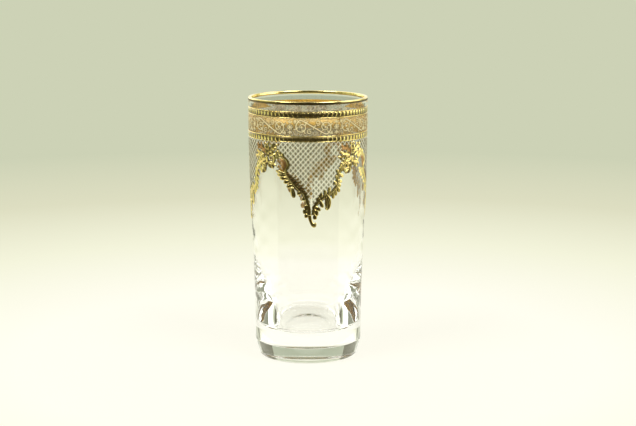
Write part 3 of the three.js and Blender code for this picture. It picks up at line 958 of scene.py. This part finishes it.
def lattice():
    """Crossing satin ribs between the lower band and a swag, seeds in the cells in dark gold that is painted
    shade, and the dull skin.
    """
    ribs, seeds, skin = Relief(), Relief(), Relief()
    wide, tall = LATTICE_CELL
    top = LOWER_BAND[0] + LATTICE_UNDER_BAND
    reach = HALF_SWAG * float(outer_radius(top))
    for side in (-1, 1):
        for k in range(-RIB_REACH, RIB_REACH + 1):
            run = []
            for level in np.linspace(top, SWAG_JOINT, RIB_STEPS):
                x = k * wide + side * (top - level) * wide / tall
                turn = x / float(outer_radius(level))
                if abs(turn) < HALF_SWAG and level > swag_edge(x) - RIB_UNDER_SWAG:
                    run.append((x, level))
            if len(run) > 3:
                ribs.strand(run[::2] if len(run) > 8 else run, constant(RIB_HALF_WIDTH), constant(RIB_LIFT))
    for row in range(SEED_ROWS):
        level = top - (row + 1) * tall / 2
        offset = 0.5 * wide if row % 2 else 0.0
        for k in range(-SEED_REACH, SEED_REACH + 1):
            x = k * wide + offset
            if abs(x) < reach - SEED_TO_SIDE and level > swag_edge(x) + SEED_TO_SWAG:
                seeds.egg((x, level), SEED[0], SEED[1], SEED_LIFT)
    rows = []
    for share in np.linspace(-1, 1, SKIN_STEPS):
        levels = np.linspace(swag_edge(share * reach), top, SKIN_ROWS)
        across = [HALF_SWAG * share * float(outer_radius(level)) for level in levels]
        outside = [(x, y, SATIN_GAP + SATIN_FILM) for x, y in zip(across, levels)]
        inside = [(x, y, SATIN_GAP) for x, y in zip(across, levels)]
        rows.append(outside + inside[::-1])
    skin.shell(rows)
    return ribs, seeds, skin


def make_swags():
    """Four equal swags round the glass, each with its lattice and the crest at its right end."""
    left, right, spray, stem = left_branch(), right_branch(), crest(), pendant()
    ribs, seeds, skin = lattice()
    gold = [GOLD, GOLD_BEHIND, GOLD_PAINTED_SHADE, COPPER]
    etched = [SATIN_RIB, SATIN_RIB]
    for i in range(SWAGS):
        turn = math.radians(SWAG_TURN + i * 360 / SWAGS)
        left.make(f"left_branch_{i + 1}", turn, gold, "gold", f"garland_left_{i + 1}")
        right.make(f"right_branch_{i + 1}", turn, gold, "gold", f"garland_right_{i + 1}")
        spray_turn = turn + HALF_SWAG + CREST_SHIFT
        spray.make(f"crest_{i + 1}", spray_turn, gold, "gold", f"garland_crest_{i + 1}")
        stem.make(f"pendant_{i + 1}", turn, gold, "gold", f"pendant_curl_{i + 1}")
        ribs.make(f"lattice_ribs_{i + 1}", turn, etched, "satin_glass", f"lattice_panel_{i + 1}")
        skin.make(f"lattice_skin_{i + 1}", turn, [SATIN_CELL, SATIN_CELL], "satin_glass")
        # The seeds take the dark gold that is painted shade
        seeds.make(f"lattice_seeds_{i + 1}", turn, [GOLD_PAINTED_SHADE, GOLD_PAINTED_SHADE], "gold")


# Studio


def linear(*srgb):
    """A colour as seen in the picture, 0 to 255, as scene-linear values."""
    shares = [value / 255 for value in srgb]
    return tuple(s / 12.92 if s <= 0.04045 else ((s + 0.055) / 1.055) ** 2.4 for s in shares)


# Colours of the backdrop, the floor, the room and the cards, which glow by themselves
BACKDROP = linear(205, 210, 182)
FLOOR_NEAR = linear(255, 253, 240)
DIM_ROOM = linear(125, 130, 106)
DARK = (0.05, 0.045, 0.028)
SIDE_DUSK = linear(100, 100, 74)
BACK_DUSK = linear(174, 182, 156)
WHITE = (2.0, 2.0, 1.9)
TOP_WHITE = (3.0, 3.0, 2.9)
FRONT_WHITE = (2.4, 2.4, 2.2)
BACK_WHITE = (1.3, 1.3, 1.15)
BACK_GLOW = (1.1, 1.1, 1.0)

# The floor in metres, its tones on the way to the backdrop, the share of it that takes the glass's shadow,
# and how much brighter it is behind glass, for the light that the glass takes away
FLOOR_RADIUS = 4.0
FLOOR_LEVEL = -0.0001
FLOOR_FADE = (0.17, 0.88)
FLOOR_TONES = ((0.25, linear(243, 243, 219)), (0.55, linear(222, 222, 194)))
SHADOW_SHARE = 0.1
GLASS_LOSS = 0.06

# How the room dims for what the glass and the gold show of it: the weight of overhead beside in front,
# and the range over which it dims
OVERHEAD_WEIGHT = 0.8
ROOM_FADE = (-0.1, 0.5)

# Where a card shows: in reflections, or through glass
MIRRORED = (True, False)
THROUGH_GLASS = (False, True)
CARD_STEPS = 24

# What the lamps are turned to
LAMP_AIM = Vector((0, 0, 0.08))


def mixed(tree, share, first, second):
    """A colour that goes from the first to the second with a share."""
    node = tree.nodes.new("ShaderNodeMix")
    node.data_type = "RGBA"
    tree.links.new(share, node.inputs["Factor"])
    for socket, colour in (("A", first), ("B", second)):
        place = [i for i in node.inputs if i.name == socket and i.type == "RGBA"][0]
        if isinstance(colour, tuple):
            place.default_value = (*colour, 1)
        else:
            tree.links.new(colour, place)
    return [o for o in node.outputs if o.type == "RGBA"][0]


def maths(tree, operation, *values):
    """What a maths node makes of numbers and other nodes' outputs."""
    node = tree.nodes.new("ShaderNodeMath")
    node.operation = operation
    for socket, value in zip(node.inputs, values):
        if isinstance(value, (int, float)):
            socket.default_value = value
        else:
            tree.links.new(value, socket)
    return node.outputs["Value"]


def make_floor():
    """A pale floor that fades into the backdrop's colour and keeps a soft shadow under the glass."""
    disc = bmesh.new()
    bmesh.ops.create_circle(disc, cap_ends=True, segments=128, radius=FLOOR_RADIUS)
    mesh = bpy.data.meshes.new("floor")
    disc.to_mesh(mesh)
    disc.free()
    floor = bpy.data.objects.new("floor", mesh)
    floor.location.z = FLOOR_LEVEL
    bpy.context.scene.collection.objects.link(floor)
    material, tree, shader = new_material("floor")
    tree.nodes.remove(shader)
    place = tree.nodes.new("ShaderNodeNewGeometry")
    distance = tree.nodes.new("ShaderNodeVectorMath")
    distance.operation = "LENGTH"
    tree.links.new(place.outputs["Position"], distance.inputs[0])
    fade = tree.nodes.new("ShaderNodeMapRange")
    fade.inputs["From Min"].default_value = FLOOR_FADE[0]
    fade.inputs["From Max"].default_value = FLOOR_FADE[1]
    tree.links.new(distance.outputs["Value"], fade.inputs["Value"])
    colours = tree.nodes.new("ShaderNodeValToRGB")
    colours.color_ramp.elements[0].color = (*FLOOR_NEAR, 1)
    colours.color_ramp.elements[1].color = (*BACKDROP, 1)
    for place_on_ramp, colour in FLOOR_TONES:
        colours.color_ramp.elements.new(place_on_ramp).color = (*colour, 1)
    tree.links.new(fade.outputs["Result"], colours.inputs["Fac"])
    seen = tree.nodes.new("ShaderNodeLightPath")
    rays = [seen.outputs[f"Is {kind} Ray"] for kind in ("Camera", "Glossy", "Transmission")]
    direct = maths(tree, "MAXIMUM", maths(tree, "MAXIMUM", rays[0], rays[1]), rays[2])
    glow = tree.nodes.new("ShaderNodeEmission")
    tree.links.new(maths(tree, "MULTIPLY_ADD", rays[2], GLASS_LOSS, 1), glow.inputs["Strength"])
    matt = tree.nodes.new("ShaderNodeBsdfDiffuse")
    blend = tree.nodes.new("ShaderNodeMixShader")
    plain = maths(tree, "MULTIPLY_ADD", fade.outputs["Result"], SHADOW_SHARE, 1 - SHADOW_SHARE)
    tree.links.new(maths(tree, "MULTIPLY", direct, plain), blend.inputs["Fac"])
    tree.links.new(colours.outputs["Color"], glow.inputs["Color"])
    tree.links.new(colours.outputs["Color"], matt.inputs["Color"])
    tree.links.new(matt.outputs["BSDF"], blend.inputs[1])
    tree.links.new(glow.outputs["Emission"], blend.inputs[2])
    tree.links.new(blend.outputs["Shader"], tree.nodes["Material Output"].inputs["Surface"])
    mesh.materials.append(material)


def make_world():
    """The camera sees the backdrop's colour. To other rays the room is dim in front and overhead."""
    world = bpy.data.worlds.new("studio")
    world.use_nodes = True
    tree = world.node_tree
    place = tree.nodes.new("ShaderNodeTexCoord")
    split = tree.nodes.new("ShaderNodeSeparateXYZ")
    tree.links.new(place.outputs["Generated"], split.inputs["Vector"])
    front = maths(tree, "MULTIPLY", split.outputs["Y"], -1)
    front_or_up = maths(tree, "MULTIPLY_ADD", split.outputs["Z"], OVERHEAD_WEIGHT, front)
    fade = tree.nodes.new("ShaderNodeMapRange")
    fade.interpolation_type = "SMOOTHSTEP"
    fade.inputs["From Min"].default_value = ROOM_FADE[0]
    fade.inputs["From Max"].default_value = ROOM_FADE[1]
    tree.links.new(front_or_up, fade.inputs["Value"])
    room = mixed(tree, fade.outputs["Result"], BACKDROP, DIM_ROOM)
    seen = tree.nodes.new("ShaderNodeLightPath")
    colour = mixed(tree, seen.outputs["Is Camera Ray"], room, BACKDROP)
    tree.links.new(colour, tree.nodes["Background"].inputs["Color"])
    bpy.context.scene.world = world


def make_card(name, start, end, first, second, colour, shows):
    """A studio card round the glass between two (radius, level) edges in metres. It shows in reflections
    or through glass, and never to the camera itself. Turns are in degrees from the back towards +X."""
    points, faces = [], []
    for i in range(CARD_STEPS + 1):
        angle = math.radians(start + (end - start) * i / CARD_STEPS)
        for radius, level in (first, second):
            points.append((radius * math.sin(angle), radius * math.cos(angle), level))
    for i in range(CARD_STEPS):
        faces.append((2 * i, 2 * i + 2, 2 * i + 3, 2 * i + 1))
    mesh = bpy.data.meshes.new(name)
    mesh.from_pydata(points, [], faces)
    card = bpy.data.objects.new(name, mesh)
    bpy.context.scene.collection.objects.link(card)
    material, tree, shader = new_material(name)
    tree.nodes.remove(shader)
    glow = tree.nodes.new("ShaderNodeEmission")
    glow.inputs["Color"].default_value = (*colour, 1)
    tree.links.new(glow.outputs["Emission"], tree.nodes["Material Output"].inputs["Surface"])
    mesh.materials.append(material)
    card.visible_camera = False
    card.visible_diffuse = False
    card.visible_shadow = False
    card.visible_glossy, card.visible_transmission = shows


def make_light(name, place, size, power):
    """A soft lamp that is turned to the glass."""
    lamp = bpy.data.lights.new(name, "AREA")
    lamp.shape = "RECTANGLE"
    lamp.size, lamp.size_y = size
    lamp.energy = power
    light = bpy.data.objects.new(name, lamp)
    light.location = place
    light.rotation_mode = "QUATERNION"
    light.rotation_quaternion = (LAMP_AIM - Vector(place)).to_track_quat("-Z", "Y")
    light.visible_transmission = False
    bpy.context.scene.collection.objects.link(light)


def make_studio():
    """Pale floor and backdrop, the cards that the gold and the glass need, and two soft lamps."""
    make_floor()
    make_world()
    make_card("front_flag", 118, 242, (0.4, 0.0), (0.4, 0.3), DARK, MIRRORED)
    make_card("brow_flag", 150, 248, (0.4, 0.3), (0.4, 0.5), DARK, MIRRORED)
    make_card("high_flag", 150, 225, (0.4, 0.5), (0.4, 0.75), DARK, MIRRORED)
    make_card("top_flag", -14, 28, (0.1, 1.2), (1.2, 1.2), DARK, MIRRORED)
    make_card("table_flag", 118, 242, (0.1, 0.0005), (0.4, 0.0005), DARK, MIRRORED)
    make_card("back_flag", -32, 32, (1.3, 0.0), (1.3, 0.25), BACK_DUSK, THROUGH_GLASS)
    make_card("back_white", -32, 32, (1.3, 0.25), (1.3, 0.34), BACK_WHITE, THROUGH_GLASS)
    make_card("left_flag", -62, -32, (1.0, 0.0), (1.0, 0.9), SIDE_DUSK, THROUGH_GLASS)
    make_card("right_flag", 32, 62, (1.0, 0.0), (1.0, 0.9), SIDE_DUSK, THROUGH_GLASS)
    make_card("left_window", -100, -70, (0.9, 0.1), (0.9, 1.0), WHITE, THROUGH_GLASS)
    make_card("right_window", 70, 100, (0.9, 0.1), (0.9, 1.0), WHITE, THROUGH_GLASS)
    make_card("left_white", -56, -20, (0.9, 0.1), (0.9, 1.0), WHITE, MIRRORED)
    make_card("right_white", 60, 112, (0.9, 0.1), (0.9, 1.0), WHITE, MIRRORED)
    make_card("top_white_left", -60, -14, (0.1, 1.2), (1.2, 1.2), TOP_WHITE, MIRRORED)
    make_card("top_white_right", 28, 60, (0.1, 1.2), (1.2, 1.2), TOP_WHITE, MIRRORED)
    make_card("back_glow", -40, 40, (1.3, 0.08), (1.3, 0.6), BACK_GLOW, MIRRORED)
    make_card("front_glow", 110, 250, (1.2, 0.5), (1.0, 1.3), FRONT_WHITE, THROUGH_GLASS)
    make_light("key", (-0.86, -0.57, 1.3), (0.7, 0.7), 20)
    make_light("fill", (0.7, -0.65, 1.3), (0.7, 0.7), 17)


# Camera, fitted to the ellipses of the rim, the bands and the foot in the photograph


FOCAL_PIXELS = 1578
PICTURE_WIDTH = 636
SENSOR = 36
CAMERA_DISTANCE = 0.9
CAMERA_HEIGHT = 0.241
CAMERA_PITCH = math.radians(9.98)
AXIS_PIXEL = 307.9

# The thick base of the glass is black with the default number of bounces
LIGHT_BOUNCES = 32


def make_camera():
    data = bpy.data.cameras.new("camera")
    data.sensor_width = SENSOR
    data.lens = SENSOR * FOCAL_PIXELS / PICTURE_WIDTH
    camera = bpy.data.objects.new("camera", data)
    yaw = math.atan((PICTURE_WIDTH / 2 - AXIS_PIXEL) / FOCAL_PIXELS)
    camera.location = (0, -CAMERA_DISTANCE, CAMERA_HEIGHT)
    camera.rotation_euler = (math.pi / 2 - CAMERA_PITCH, 0, -yaw)
    bpy.context.scene.collection.objects.link(camera)
    bpy.context.scene.camera = camera


make_glass()
make_rim()
make_band("bead_band_upper", "upper_bead_band", UPPER_BAND, -1)
make_band("bead_band_lower", "lower_bead_band", LOWER_BAND, 1)
make_frieze()
make_swags()
make_studio()
make_camera()
bpy.context.scene.view_settings.view_transform = "Standard"
bpy.context.scene.cycles.max_bounces = LIGHT_BOUNCES
bpy.context.scene.cycles.glossy_bounces = LIGHT_BOUNCES
bpy.context.scene.cycles.transmission_bounces = LIGHT_BOUNCES
